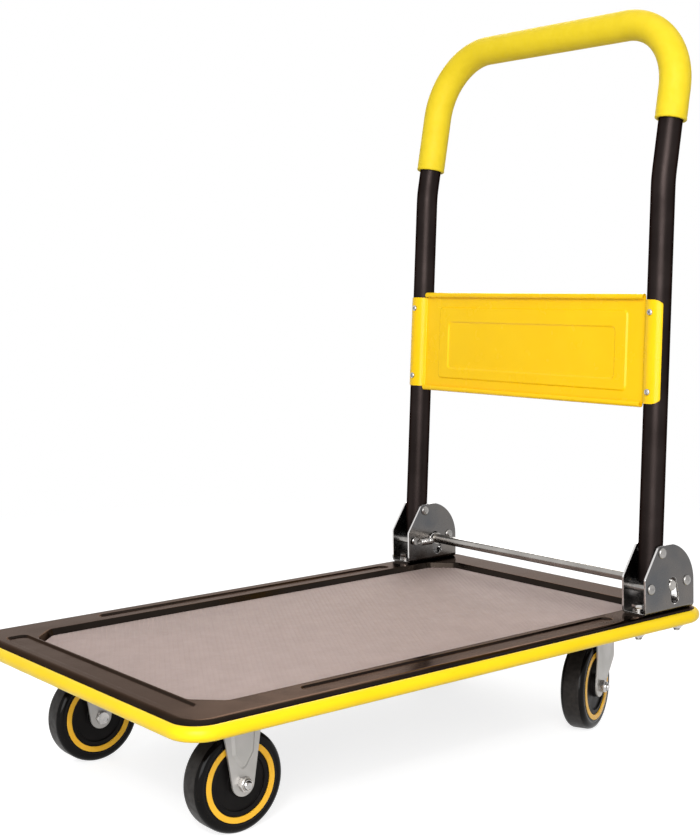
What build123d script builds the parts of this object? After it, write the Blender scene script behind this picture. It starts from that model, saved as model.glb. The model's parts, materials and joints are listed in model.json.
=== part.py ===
from build123d import *
import math
import os

os.makedirs("parts", exist_ok=True)

# Folding platform trolley, in millimetres: X runs to the handle end, Z up from the floor,
# the origin lies on the floor under the middle of the platform

# Deck
deck_length = 718.0
deck_width = 460.0
bumper_wall = 5.0
bumper_lip = 1.7
bumper_lip_width = 6.5
bumper_round = 7.2
bumper_drop = 3.8
bumper_hug = 0.9
seat_ease = 0.6
deck_sheet = 1.5
deck_corner_radius = 30.0
deck_edge_radius = 9.0
skirt_height = 17.0
return_flange = 40.0
recess_depth = 8.1
recess_slope = 4.0
front_border = 53.0
rear_border = 57.0
side_border = 53.7
mat_thickness = 2.0
mat_corner = 25.0
mat_corner_radius = 10.0
mat_gap = 0.3

# Stiffening troughs pressed down into the deck's border
trough_depth = 1.8
trough_draft = 2.2
trough_corner = 8.0
side_trough_width = 18.0
side_trough_inset = 11.7
side_trough_front = 149.0
side_trough_rear = 139.0
front_trough_width = 26.0
front_trough_inset = 6.5
front_trough_margin = 52.5
press_radius = 1.2

# Cross channels under the deck
channel_depth = 7.7
channel_sheet = 2.0
channel_web = 68.0
channel_flange = 9.0
channel_margin = 50.0

# Casters and wheels
wheel_diameter = 100.0
wheel_width = 28.0
wheel_shoulder = 6.5
wheel_headroom = 24.0
wheel_play = 2.0
front_axle_setback = 107.0
kingpin_setback = 100.3
front_caster_inset = 91.0
rear_caster_inset = 97.8
caster_trail = 20.0
swivel_rest_angle = 23.1
ring_inset = 10.8
ring_width = 5.8
ring_thickness = 1.8
ring_proud = 0.2
tyre_depth = 17.0
core_rim = 5.0
core_inset = 1.0
core_dish = 2.0
hub_radius = 13.0
hub_clearance = 0.5
sleeve_radius = 6.0
axle_radius = 4.0
running_gap = 0.06
fit_gap = 0.04
fork_sheet = 2.5
fork_bend = 5.0
fork_foot_radius = 12.5
front_leg_half = 24.5
swivel_leg_front = 30.0
swivel_leg_rear = 26.5
swivel_front_knee = 24.0
swivel_rear_knee = 30.0
swivel_knee_radius = 12.0
rib_half_top = 14.5
rib_half = 12.5
rib_top_drop = 14.0
rib_knee_rise = 29.0
rib_tip_rise = 11.0
rib_height = 2.0
rib_draft = 3.0
plate_x = 64.0
plate_y = 84.0
plate_corner = 6.0
bolt_spacing_x = 46.0
bolt_spacing_y = 66.0
plate_bolt_radius = 3.0
plate_bolt_flats = 10.0
plate_bolt_head = 4.0
plate_nut_height = 5.0
hole_gap = 0.3
ball_radius = 3.0
ball_circle = 20.0
ball_count = 12
ball_gap = 0.25
race_wall = 2.0
race_lip = 2.5
kingpin_radius = 6.0
kingpin_head_radius = 10.0
kingpin_head = 3.2
axle_flats = 13.0
axle_head = 5.3
lock_nut = 8.0
lock_nut_collar = 2.0
lock_nut_collar_radius = 5.6
axle_end = 2.0
bolt_end = 3.0

# Handle
tube_diameter = 28.0
tube_wall = 1.5
tube_inset = 25.0
handle_height = 825.0
handle_lean = 3.46
grip_lean = 11.0
grip_section = 189.0
handle_bend_radius = 150.0
handle_corner_radius = 85.0
tail_gap = 1.2
grip_wall = 4.5
grip_gap = 0.1
grip_drop_right = 156.0
grip_drop_left = 121.0

# Handle panel, set out from the pivot along the tubes
panel_sheet = 1.2
panel_gap = 0.1
panel_setback = 4.0
panel_bend = 3.0
saddle_wrap = 58.0
saddle_low = 169.0
saddle_high = 288.0
saddle_corner = 10.0
hem_low = 164.0
hem_high = 295.0
hem_radius = 3.5
hem_turn = 240.0
frame_margin = 25.0
frame_low = 181.0
frame_high = 276.0
field_margin = 18.0
field_low = 194.0
field_high = 257.0
emboss_depth = 1.5
emboss_draft = 2.0
emboss_corner = 6.0
screw_low = 182.5
screw_high = 273.5
screw_radius = 2.0
screw_length = 12.0
screw_head_radius = 3.8
screw_head = 2.2

# Hinge brackets
bracket_sheet = 2.5
tube_play = 1.0
bracket_length = 84.3
bracket_height = 77.2
bracket_setback = 23.7
bracket_bend = 5.0
bracket_front_height = 41.7
bracket_rear_height = 31.3
bracket_flat_start = 23.6
bracket_flat_end = 47.5
pivot_from_front = 29.3
pivot_below_top = 8.3
pivot_radius = 4.0
pivot_gap = 0.05
rivet_radius = 3.5
rivet_shoulder = 4.5
rivet_head_radius = 6.0
rivet_rim = 1.2
rivet_head = 1.8
stop_rivet = (9.7, 29.9)
rear_rivet = (72.0, 32.3)
bracket_bolts_x = (8.0, 75.0)
bracket_bolt_radius = 4.0
bracket_bolt_flats = 13.0
bracket_bolt_head = 5.3
washer_radius = 7.5
washer_thickness = 1.6
lock_washer_radius = 6.7
lock_washer = 2.0
lock_washer_cut = 1.0

# Release bar and its springs
bar_diameter = 12.0
bar_from_front = 47.0
bar_height = 29.7
bar_travel = 15.0
bar_slope = 11.8
bar_proud = 0.5
slot_front_gap = 0.3
slot_rear_gap = 1.5
slot_top_gap = 2.5
slot_end_gap = 0.5
collar_radius = 7.8
collar_width = 1.5
spring_wire = 1.4
spring_radius = 3.8
spring_pitch = 2.0
spring_turns = 10
spring_clear = 1.5
spring_start = 5.6
spring_bend = 2.5
hook_gap = 0.2
anchor_head_radius = 4.6
anchor_head = 1.2

# Levels and positions that follow from the sizes above
caster_height = wheel_diameter + wheel_headroom
floor_bottom = caster_height + channel_depth
floor_top = floor_bottom + deck_sheet
border_z = floor_top + recess_depth
skirt_bottom = border_z - skirt_height
panel_length = deck_length - 2 * bumper_wall
panel_width = deck_width - 2 * bumper_wall
mat_length = deck_length - front_border - rear_border
mat_width = deck_width - 2 * side_border
mat_x = (front_border - rear_border) / 2
wheel_radius = wheel_diameter / 2
ring_outer_radius = wheel_radius - ring_inset
core_radius = wheel_radius - tyre_depth
core_rim_radius = core_radius - core_rim
fork_gap = wheel_width + 2 * wheel_play
front_x = front_axle_setback - deck_length / 2
kingpin_x = deck_length / 2 - kingpin_setback
front_caster_y = deck_width / 2 - front_caster_inset
rear_caster_y = deck_width / 2 - rear_caster_inset
tube_radius = tube_diameter / 2
grip_radius = tube_radius + grip_wall
handle_bend_z = handle_height - grip_section
tube_y = deck_width / 2 - tube_inset
bracket_front = deck_length / 2 - bracket_setback - bracket_length
bracket_half = tube_radius + tube_play
bracket_outer = bracket_half + bracket_sheet
pivot_x = bracket_front + pivot_from_front
pivot_z = border_z + bracket_height - pivot_below_top
bar_radius = bar_diameter / 2
bar_x = bracket_front + bar_from_front
bar_z = border_z + bar_height
bar_way = (math.sin(math.radians(bar_slope)), -math.cos(math.radians(bar_slope)))
tail_reach = math.dist((pivot_x, pivot_z), (bar_x, bar_z)) - bar_radius - tail_gap
tube_tail = math.sqrt(tail_reach ** 2 - tube_radius ** 2)
stop_x = bracket_front + stop_rivet[0]
stop_z = border_z + stop_rivet[1]
lean = math.radians(handle_lean)
upper_lean = math.radians(grip_lean)
tube_up = Vector(math.sin(lean), 0, math.cos(lean))
grip_up = Vector(math.sin(upper_lean), 0, math.cos(upper_lean))
race_gap = 2 * ball_radius + 2 * ball_gap
plate_bottom = caster_height - fork_sheet
crown_top = plate_bottom - race_gap
sides = (("left", -1), ("right", 1))


def save(node, shape):
    export_step(shape, f"parts/{node}.step")


def group(shapes):
    return Compound([solid for shape in shapes for solid in shape.solids()])


def mirrored(shape, side):
    """The shape as built on the right side, or its mirror image on the left."""
    return shape if side > 0 else mirror(shape, about=Plane.XZ)


def slab(length, width, radius, low, high):
    return Pos(0, 0, low) * extrude(RectangleRounded(length, width, radius), high - low)


def rod(radius, length, x, y, z):
    """Round bar along Y about its middle."""
    return Pos(x, y, z) * Rot(90, 0, 0) * Cylinder(radius, length)


def post(radius, low, high, x=0.0, y=0.0):
    """Round bar along Z between two levels."""
    return Pos(x, y, (low + high) / 2) * Cylinder(radius, high - low)


def tube(outer, inner, low, high):
    return post(outer, low, high) - post(inner, low - 1, high + 1)


def hexagon(flats, height):
    return extrude(RegularPolygon(flats / math.sqrt(3), 6), height)


def hex_bolt(flats, head, radius, length):
    """Bolt with its head above Z 0 and its shank below."""
    return hexagon(flats, head) + post(radius, -length, 0)


def hex_nut(flats, height, radius):
    return hexagon(flats, height) - post(radius, -1, height + 1)


def make_lock_nut(flats, radius):
    """Nut from Z 0 up, with the round collar of its locking insert on top."""
    nut = hexagon(flats, lock_nut - lock_nut_collar)
    nut += post(lock_nut_collar_radius, lock_nut - lock_nut_collar, lock_nut)
    return nut - post(radius, -1, lock_nut + 1)


def turned(points, low_dome=0.0, high_dome=0.0):
    """Solid turned about Z from (radius, height) points, lowest first, with flat or domed ends."""
    low = (0, points[0][1] - low_dome)
    high = (0, points[-1][1] + high_dome)
    line = Polyline(*points) + Line(low, high)
    for end, rim, dome in ((low, points[0], low_dome), (high, points[-1], high_dome)):
        line += TangentArc(end, rim, tangent=(1, 0)) if dome else Line(end, rim)
    return revolve(Plane.XZ * make_face(line), Axis.Z)


def prism(sketch, half_width):
    """A sketch in X and Z, drawn out evenly to both sides along Y."""
    return extrude(Plane.XZ * sketch, half_width, both=True)


def upright(sketch, y):
    """A sketch stood up in X and Z at the given Y."""
    return Pos(0, y, 0) * Rot(90, 0, 0) * sketch


# Deck, mat, bumper and cross channels
def mat_outline(grow, z):
    """Outline of the mat with cut corners, grown evenly."""
    outline = Rectangle(mat_length + 2 * grow, mat_width + 2 * grow)
    outline = chamfer(outline.vertices(), mat_corner + grow * (2 - math.sqrt(2)))
    outline = fillet(outline.vertices(), mat_corner_radius + grow)
    return Pos(mat_x, 0, z) * outline


def trough(length, width, grow, z):
    """Shallow tray with sloping walls, pressed down from the given level."""
    rim = RectangleRounded(length + 2 * grow, width + 2 * grow, trough_corner + grow)
    inset = grow - trough_draft
    floor = RectangleRounded(length + 2 * inset, width + 2 * inset, trough_corner + inset)
    return loft([Pos(0, 0, z) * rim, Pos(0, 0, z - trough_depth) * floor], ruled=True)


def trough_places():
    """Place, length and width of the troughs along the front and both sides."""
    side_length = deck_length - side_trough_front - side_trough_rear
    side_x = (side_trough_front - side_trough_rear) / 2
    side_y = mat_width / 2 + side_trough_inset + side_trough_width / 2
    front = mat_x - mat_length / 2 - front_trough_inset - front_trough_width / 2
    return (
        (Pos(side_x, side_y), side_length, side_trough_width),
        (Pos(side_x, -side_y), side_length, side_trough_width),
        (Pos(front, 0) * Rot(0, 0, 90), deck_width - 2 * front_trough_margin, front_trough_width),
    )


def make_deck_panel():
    t = deck_sheet
    outside = slab(panel_length, panel_width, deck_corner_radius, skirt_bottom, border_z)
    outside = fillet(outside.edges().group_by(Axis.Z)[-1], deck_edge_radius)
    inside = slab(panel_length - 2 * t, panel_width - 2 * t, deck_corner_radius - t,
                  skirt_bottom + t, border_z - t)
    inside = fillet(inside.edges().group_by(Axis.Z)[-1], deck_edge_radius - t)
    opening = slab(panel_length - 2 * return_flange, panel_width - 2 * return_flange,
                   deck_corner_radius / 2, skirt_bottom - 1, skirt_bottom + t + 1)
    tray = loft([mat_outline(recess_slope + t, border_z - t), mat_outline(t, floor_bottom)], ruled=True)
    recess = loft([mat_outline(recess_slope, border_z), mat_outline(0, floor_top)], ruled=True)
    panel = outside - inside - opening + tray - recess
    for place, length, width in trough_places():
        panel += place * trough(length, width, t, border_z - t)
        panel -= place * trough(length, width, 0, border_z)
    rims = panel.faces().filter_by(Axis.Z).group_by(Axis.Z)[-1].sort_by(SortBy.AREA)[-1].inner_wires()
    panel = fillet([edge for rim in rims for edge in rim.edges()], press_radius)
    for x in bracket_bolts_x:
        for _, side in sides:
            panel -= post(bracket_bolt_radius + hole_gap, skirt_bottom - 1, border_z + 1,
                          bracket_front + x, side * tube_y)
    return panel


def make_bumper():
    """D-shaped bumper with a lip under the skirt's return flange."""
    low = skirt_bottom - bumper_lip
    high = border_z - bumper_drop
    outside = slab(deck_length, deck_width, deck_corner_radius + bumper_wall, low, high)
    rims = outside.edges().group_by(Axis.Z)
    outside = fillet(rims[0] + rims[-1], bumper_round)
    seat = slab(panel_length + 2 * fit_gap, panel_width + 2 * fit_gap, deck_corner_radius + fit_gap,
                skirt_bottom, border_z + fit_gap)
    seat = fillet(seat.edges().group_by(Axis.Z)[-1], deck_edge_radius - seat_ease)
    seat += slab(panel_length - 2 * bumper_hug, panel_width - 2 * bumper_hug,
                 deck_corner_radius - bumper_hug, skirt_bottom, border_z)
    hole = slab(panel_length - 2 * bumper_lip_width, panel_width - 2 * bumper_lip_width,
                deck_corner_radius - bumper_lip_width, low - 1, skirt_bottom + 1)
    return outside - seat - hole


def plate_bolt_places(x, y):
    return [(x + i * bolt_spacing_x / 2, y + j * bolt_spacing_y / 2) for i in (-1, 1) for j in (-1, 1)]


def make_channel(x, y):
    """Hat-section channel across the deck, its flanges against the deck's floor."""
    t = channel_sheet
    half = channel_web / 2
    wide = half + channel_flange
    right = [(half - t, caster_height + t), (half - t, floor_bottom), (wide, floor_bottom),
             (wide, floor_bottom - t), (half, floor_bottom - t), (half, caster_height)]
    left = [(-a, b) for a, b in reversed(right)]
    section = make_face(Polyline(*right, *left, close=True))
    channel = Pos(x, 0, 0) * prism(section, deck_width / 2 - channel_margin)
    for side in (-1, 1):
        for place in plate_bolt_places(x, side * y):
            channel -= post(plate_bolt_radius + hole_gap, caster_height - 1, floor_bottom, *place)
    return channel


# Hinge brackets, built about Y 0 and set on each side
def bracket_outline():
    x0, x1 = bracket_front, bracket_front + bracket_length
    z0 = border_z
    top = border_z + bracket_height
    shoulder = (bracket_front + bracket_flat_end, top)
    heel = (x1, border_z + bracket_rear_height)
    line = FilletPolyline((x0, z0), (x0, border_z + bracket_front_height),
                          (x0 + bracket_flat_start, top), shoulder, radius=(5, 5))
    line += TangentArc(heel, shoulder, tangent=(0, 1))
    line += Polyline(heel, (x1, z0), (x0, z0))
    return make_face(line)


def bent_block(half, z0, radius):
    """Long block with its two lower edges rounded as sheet bends."""
    height = bracket_height + 2 * bracket_bend
    block = Pos(pivot_x, 0, z0 + height / 2) * Box(4 * bracket_length, 2 * half, height)
    return fillet(block.edges().filter_by(Axis.X).group_by(Axis.Z)[0], radius)


def slot_sketch():
    """Slanted slot that the release bar runs in, roomy above and behind the bar."""
    across = (-bar_way[1], bar_way[0])
    along = (bar_travel + slot_end_gap - slot_top_gap) / 2
    aside = (slot_rear_gap - slot_front_gap) / 2
    sketch = SlotCenterToCenter(bar_travel + slot_top_gap + slot_end_gap,
                                bar_diameter + slot_front_gap + slot_rear_gap)
    middle_x = bar_x + bar_way[0] * along + across[0] * aside
    middle_z = bar_z + bar_way[1] * along + across[1] * aside
    return Pos(middle_x, middle_z) * Rot(0, 0, math.degrees(math.atan2(bar_way[1], bar_way[0]))) * sketch


def make_bracket():
    """Channel of bent sheet, open at the front and the back."""
    t = bracket_sheet
    body = bent_block(bracket_outer, border_z, bracket_bend)
    body -= bent_block(bracket_half, border_z + t, bracket_bend - t)
    body &= prism(bracket_outline(), bracket_outer)
    body -= prism(slot_sketch(), 2 * bracket_outer)
    body -= rod(pivot_radius + fit_gap, 4 * bracket_outer, pivot_x, 0, pivot_z)
    for x, z in (stop_rivet, rear_rivet):
        body -= rod(rivet_radius + fit_gap, 4 * bracket_outer, bracket_front + x, 0, border_z + z)
    for x in bracket_bolts_x:
        body -= post(bracket_bolt_radius + hole_gap, border_z - 1, border_z + 2 * t, bracket_front + x)
    return body


def set_rivet(profile, x, z, low_dome):
    return Pos(x, tube_y, z) * Rot(-90, 0, 0) * turned(profile, low_dome, rivet_head)


def headed(points):
    """Rivet profile with a round head on its upper end."""
    return points + [(rivet_head_radius, bracket_outer), (rivet_head_radius, bracket_outer + rivet_rim)]


def head_below(radius):
    """Start of a rivet profile with a round head on its lower end."""
    return [(rivet_head_radius, -bracket_outer - rivet_rim), (rivet_head_radius, -bracket_outer),
            (radius, -bracket_outer)]


def make_pivot_rivet():
    return set_rivet(headed(head_below(pivot_radius) + [(pivot_radius, bracket_outer)]),
                     pivot_x, pivot_z, rivet_head)


def shouldered(low):
    """Rivet that keeps the two plates apart, after its lower points."""
    return headed(low + [(rivet_radius, -bracket_half), (rivet_shoulder, -bracket_half),
                         (rivet_shoulder, bracket_half), (rivet_radius, bracket_half),
                         (rivet_radius, bracket_outer)])


def make_rear_rivet():
    profile = shouldered(head_below(rivet_radius))
    return set_rivet(profile, bracket_front + rear_rivet[0], border_z + rear_rivet[1], rivet_head)


def make_stop_rivet():
    """Front rivet, drawn out on the bay side as the anchor of the spring."""
    end = tube_y - spring_hook_y + spring_wire / 2 + hook_gap
    low = [(anchor_head_radius, -end - anchor_head), (anchor_head_radius, -end), (rivet_radius, -end)]
    return set_rivet(shouldered(low), stop_x, stop_z, 0.0)


# Release bar and springs
spring_y = tube_y - bracket_outer - spring_clear - spring_radius - spring_wire / 2
spring_hook_y = spring_y + spring_radius


def make_collar():
    y = spring_hook_y - spring_wire / 2 - hook_gap - collar_width / 2
    return rod(collar_radius, collar_width, bar_x, y, bar_z) - rod(bar_radius + fit_gap, 9, bar_x, y, bar_z)


def biarc(start, start_way, end, end_way):
    """Two arcs that leave the start and reach the end along the given directions."""
    chord = end - start
    both = start_way + end_way
    spread = 2 * (1 - start_way.dot(end_way))
    if spread < 1e-9:
        reach = chord.dot(chord) / (4 * chord.dot(end_way))
    else:
        along = chord.dot(both)
        reach = (math.sqrt(along ** 2 + spread * chord.dot(chord)) - along) / spread
    joint = (start + end + (start_way - end_way) * reach) * 0.5
    joint_way = (joint - start - start_way * reach).normalized()
    return [TangentArc(start, joint, tangent=start_way), TangentArc(joint, end, tangent=joint_way)]


def spring_path():
    """Centre line of the right spring: hook on the front rivet, coil, hook over the bar."""
    front = rivet_radius + hook_gap + spring_wire / 2
    rear = bar_radius + hook_gap + spring_wire / 2
    axis_z = stop_z - front + spring_bend
    first = stop_x + spring_start
    last = first + spring_turns * spring_pitch
    rise = bar_z + rear - axis_z

    def coil(angle):
        x = first + spring_pitch * angle / (2 * math.pi)
        return Vector(x, spring_y + spring_radius * math.cos(angle), axis_z + spring_radius * math.sin(angle))

    def coil_way(angle):
        return Vector(spring_pitch / (2 * math.pi), -spring_radius * math.sin(angle),
                      spring_radius * math.cos(angle)).normalized()

    def flat(x, z):
        return Vector(x, spring_hook_y, z)

    ahead = Vector(1, 0, 0)
    back = Vector(-1, 0, 0)
    edges = biarc(flat(stop_x, stop_z + front), back, flat(stop_x, stop_z - front), ahead)
    edges.append(Line(flat(stop_x, stop_z - front), flat(first - spring_bend, stop_z - front)))
    edges += biarc(flat(first - spring_bend, stop_z - front), ahead, coil(0), coil_way(0))
    for half in range(2 * spring_turns):
        a, b = half * math.pi, (half + 1) * math.pi
        edges += biarc(coil(a), coil_way(a), coil(b), coil_way(b))
    end = 2 * spring_turns * math.pi
    edges += biarc(coil(end), coil_way(end), flat(last + rise, bar_z + rear), ahead)
    edges.append(Line(flat(last + rise, bar_z + rear), flat(bar_x, bar_z + rear)))
    edges += biarc(flat(bar_x, bar_z + rear), ahead, flat(bar_x, bar_z - rear), back)
    return Wire(edges)


def least_gap(path):
    """Least clear gap between parts of the wire that are not next to each other."""
    step = spring_wire / 4
    count = int(path.length / step)
    points = [path.position_at(i / count) for i in range(count + 1)]
    skip = int(3 * spring_wire / step)
    gaps = [(a - b).length for i, a in enumerate(points) for b in points[i + skip:]]
    return min(gaps) - spring_wire


def make_spring():
    path = spring_path()
    print("release spring: least gap between turns", round(least_gap(path), 3), "mm")
    start = Plane(origin=path.position_at(0), z_dir=path.tangent_at(0))
    return sweep(start * Circle(spring_wire / 2), path=path)


# Handle
def tube_point(along, side):
    return Vector(pivot_x, side * tube_y, pivot_z) + tube_up * along


bend_along = (handle_bend_z - pivot_z) / math.cos(lean)


def grip_point(z, side):
    return tube_point(bend_along, side) + grip_up * ((z - handle_bend_z) / math.cos(upper_lean))


def swept(path, outer, inner):
    start = Plane(origin=path.position_at(0), z_dir=path.tangent_at(0))
    return sweep(start * Circle(outer), path=path) - sweep(start * Circle(inner), path=path)


panel_plane = Plane(origin=(pivot_x, 0, pivot_z), x_dir=(0, 1, 0), z_dir=tube_up)


def make_handle_tube():
    points = [tube_point(-tube_tail, -1), tube_point(bend_along, -1), grip_point(handle_height, -1),
              grip_point(handle_height, 1), tube_point(bend_along, 1), tube_point(-tube_tail, 1)]
    radii = (handle_bend_radius, handle_corner_radius, handle_corner_radius, handle_bend_radius)
    handle = swept(FilletPolyline(*points, radius=radii), tube_radius, tube_radius - tube_wall)
    for _, side in sides:
        handle -= rod(pivot_radius + pivot_gap, 4 * tube_radius, pivot_x, side * tube_y, pivot_z)
    return handle - panel_plane * screw_holes(screw_radius + fit_gap)


def make_grip():
    points = [grip_point(handle_height - grip_drop_left, -1), grip_point(handle_height, -1),
              grip_point(handle_height, 1), grip_point(handle_height - grip_drop_right, 1)]
    path = FilletPolyline(*points, radius=handle_corner_radius)
    return swept(path, grip_radius, tube_radius + grip_gap)


def screw_places():
    return [(side * tube_y, height) for _, side in sides for height in (screw_low, screw_high)]


def screw_holes(radius):
    hole = Rot(90, 0, 0) * Cylinder(radius, tube_diameter)
    return Part() + [Pos(y, tube_radius, h) * hole for y, h in screw_places()]


def panel_edge(lift):
    """Half of the panel's plan, at its back face or lifted by the sheet: saddle, reverse bend, flat."""
    saddle = tube_radius + panel_gap
    bend_n = panel_setback + panel_bend
    bend_y = tube_y - math.sqrt((saddle + panel_bend) ** 2 - bend_n ** 2)
    turn = math.atan2(bend_y - tube_y, bend_n)
    wrap = math.radians(saddle_wrap)

    def on_saddle(angle):
        return (tube_y + (saddle + lift) * math.sin(angle), (saddle + lift) * math.cos(angle))

    def on_bend(angle):
        radius = panel_bend - lift
        return (bend_y - radius * math.sin(angle), bend_n - radius * math.cos(angle))

    line = ThreePointArc(on_saddle(wrap), on_saddle((wrap + turn) / 2), on_saddle(turn))
    line += ThreePointArc(on_saddle(turn), on_bend(turn / 2), on_bend(0))
    return line, on_saddle(wrap), on_bend(0)


def panel_half():
    """Solid of one half of the panel, between the tabs' lower and upper edges."""
    back, back_end, back_flat = panel_edge(0.0)
    front, front_end, front_flat = panel_edge(panel_sheet)
    line = back + front + Line(back_end, front_end)
    line += Polyline(back_flat, (0, back_flat[1]), (0, front_flat[1]), front_flat)
    return Pos(0, 0, saddle_low) * extrude(make_face(line), saddle_high - saddle_low)


def hem(center_h, start, turn):
    """Section of a hem rolled forward, open at its free edge."""
    center = (panel_setback + hem_radius, center_h)
    outer = CenterArc(center, hem_radius, start, turn)
    inner = CenterArc(center, hem_radius - panel_sheet, start, turn)
    line = outer + inner + Line(outer @ 0, inner @ 0) + Line(outer @ 1, inner @ 1)
    return make_face(line)


def emboss(width, low, high, n, depth, inset):
    """Rectangular press mark between two faces of the sheet."""
    place = Pos(0, (low + high) / 2)
    wide = place * RectangleRounded(width, high - low, emboss_corner)
    tight = place * RectangleRounded(width - 2 * inset, high - low - 2 * inset, emboss_corner - inset)
    return loft([upright(wide, n), upright(tight, n + depth)], ruled=True)


def make_panel():
    t = panel_sheet
    flat_half = panel_edge(0.0)[2][0]
    low = hem_low + hem_radius
    high = hem_high - hem_radius
    face = panel_setback + t
    half = panel_half()
    outline = RectangleRounded(2 * (tube_y + tube_radius), saddle_high - saddle_low, saddle_corner)
    outline = Pos(0, (saddle_low + saddle_high) / 2) * outline
    tabs = half + mirror(half, about=Plane.YZ)
    tabs &= Rot(90, 0, 0) * extrude(outline, 4 * tube_radius, both=True)
    strip = Pos(panel_setback + t / 2, (low + high) / 2) * Rectangle(t, high - low)
    section = strip + hem(high, 180, -hem_turn) + hem(low, 180, hem_turn)
    panel = tabs + extrude(Plane.YZ * section, flat_half, both=True)
    frame = 2 * (flat_half - frame_margin)
    field = frame - 2 * field_margin
    panel += emboss(frame, frame_low, frame_high, face, emboss_depth, emboss_draft)
    panel -= emboss(frame - 2 * t, frame_low + t, frame_high - t, face - t, emboss_depth, emboss_draft)
    back = face + emboss_depth
    panel += emboss(field + 2 * t, field_low - t, field_high + t, back - t, -emboss_depth, emboss_draft)
    panel -= emboss(field, field_low, field_high, back, -emboss_depth, emboss_draft)
    return panel_plane * (panel - screw_holes(screw_radius + fit_gap))


def make_panel_screws():
    seat = tube_radius + panel_gap + panel_sheet
    profile = [(screw_radius, -screw_length), (screw_radius, 0), (screw_head_radius, 0)]
    screw = turned(profile, 0.0, screw_head)
    return group([panel_plane * (Pos(y, seat, h) * Rot(-90, 0, 0) * screw) for y, h in screw_places()])


# Wheels, about an axle along Y at the origin
def wheel_band(inner, outer, half_width):
    return Pos((inner + outer) / 2, 0) * Rectangle(outer - inner, 2 * half_width)


def ring_seat(side):
    depth = ring_thickness - ring_proud
    place = Pos(ring_outer_radius - ring_width / 2, side * (wheel_width - depth) / 2)
    return place * Rectangle(ring_width, depth)


def make_tyre():
    section = wheel_band(core_radius, wheel_radius, wheel_width / 2)
    section = fillet(section.vertices().group_by(Axis.X)[-1], wheel_shoulder)
    section -= ring_seat(-1)
    section -= ring_seat(1)
    return revolve(section, Axis.Y)


def make_core():
    half = wheel_width / 2 - core_inset
    rim = wheel_band(core_rim_radius, core_radius - fit_gap, half)
    web = wheel_band(hub_radius - 1, core_rim_radius + 1, half - core_dish)
    hub = wheel_band(sleeve_radius + running_gap, hub_radius, fork_gap / 2 - hub_clearance)
    return revolve(rim + web + hub, Axis.Y)


def make_rings():
    middle = wheel_width / 2 + ring_proud - ring_thickness / 2
    inner = ring_outer_radius - ring_width
    band = wheel_band(inner + fit_gap, ring_outer_radius - fit_gap, ring_thickness / 2)
    return group([revolve(Pos(0, side * middle) * band, Axis.Y) for side in (-1, 1)])


def make_sleeve():
    return Rot(90, 0, 0) * tube(sleeve_radius, axle_radius + fit_gap, -fork_gap / 2, fork_gap / 2)


def make_axle_bolt(side):
    """Axle bolt with its head on the inner leg, under the trolley."""
    length = fork_gap + 2 * fork_sheet + lock_nut + axle_end
    bolt = hex_bolt(axle_flats, axle_head, axle_radius, length)
    return Pos(0, -side * (fork_gap / 2 + fork_sheet), 0) * Rot(90 * side, 0, 0) * bolt


def make_axle_nut(side):
    nut = make_lock_nut(axle_flats, axle_radius + fit_gap)
    return Pos(0, side * (fork_gap / 2 + fork_sheet), 0) * Rot(-90 * side, 0, 0) * nut


# Caster forks, built with the caster's upright axis at the origin
def touch(point, center, radius, side):
    """Point where a line from the given point touches a circle."""
    away = math.atan2(point[1] - center[1], point[0] - center[0])
    angle = away + side * math.acos(radius / math.dist(point, center))
    return (center[0] + radius * math.cos(angle), center[1] + radius * math.sin(angle))


def leg_outline(rear, front, axle_x, knee_radius=0.0):
    """Leg seen from the side: rear edge from the bottom up, front edge from the top down, round foot."""
    axle = (axle_x, wheel_radius)
    left = touch(rear[0], axle, fork_foot_radius, 1)
    right = touch(front[-1], axle, fork_foot_radius, -1)
    edge = (left, *rear, *front, right)
    line = FilletPolyline(*edge, radius=(knee_radius, 0, 0, knee_radius)) if knee_radius else Polyline(*edge)
    line += ThreePointArc(right, (axle_x, wheel_radius - fork_foot_radius), left)
    return make_face(line)


def leg_rib(y, outward):
    """Shield-shaped rib pressed outward from a leg, its tip above the axle."""
    high = plate_bottom - rib_top_drop
    knee = wheel_radius + rib_knee_rise
    right = [(rib_half_top, high), (rib_half, knee)]
    left = [(-x, z) for x, z in reversed(right)]
    outline = make_face(Polyline(*right, (0, wheel_radius + rib_tip_rise), *left, close=True))
    outline = fillet(outline.vertices(), rib_draft + 1)
    crown = offset(outline, -rib_draft)
    return loft([upright(outline, y), upright(crown, y + outward)], ruled=True)


def make_yoke(outline, top, axle_x):
    """Two legs and the crown between them, bent from one sheet."""
    t = fork_sheet
    half = fork_gap / 2
    length = 4 * wheel_radius
    outer = Pos(0, 0, top - length / 2) * Box(length, 2 * (half + t), length)
    outer = fillet(outer.edges().filter_by(Axis.X).group_by(Axis.Z)[-1], fork_bend)
    inner = Pos(0, 0, top - t - length / 2) * Box(length + 2, 2 * half, length)
    inner = fillet(inner.edges().filter_by(Axis.X).group_by(Axis.Z)[-1], fork_bend - t)
    yoke = (outer - inner) & prism(outline, half + t)
    return yoke - rod(axle_radius + fit_gap, 4 * half, axle_x, 0, wheel_radius)


def make_plate():
    plate = slab(plate_x, plate_y, plate_corner, plate_bottom, caster_height)
    for place in plate_bolt_places(0, 0):
        plate -= post(plate_bolt_radius + hole_gap, plate_bottom - 1, caster_height + 1, *place)
    return plate


def make_front_fork():
    """Rigid fork welded to its plate, with a rib pressed out of each leg."""
    half = fork_gap / 2
    outline = leg_outline([(-front_leg_half, plate_bottom)], [(front_leg_half, plate_bottom)], 0)
    fork = make_yoke(outline, plate_bottom, 0)
    for side in (-1, 1):
        fork += leg_rib(side * (half + fork_sheet), side * rib_height)
        fork -= leg_rib(side * half, side * rib_height)
    return make_plate() + fork


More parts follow.
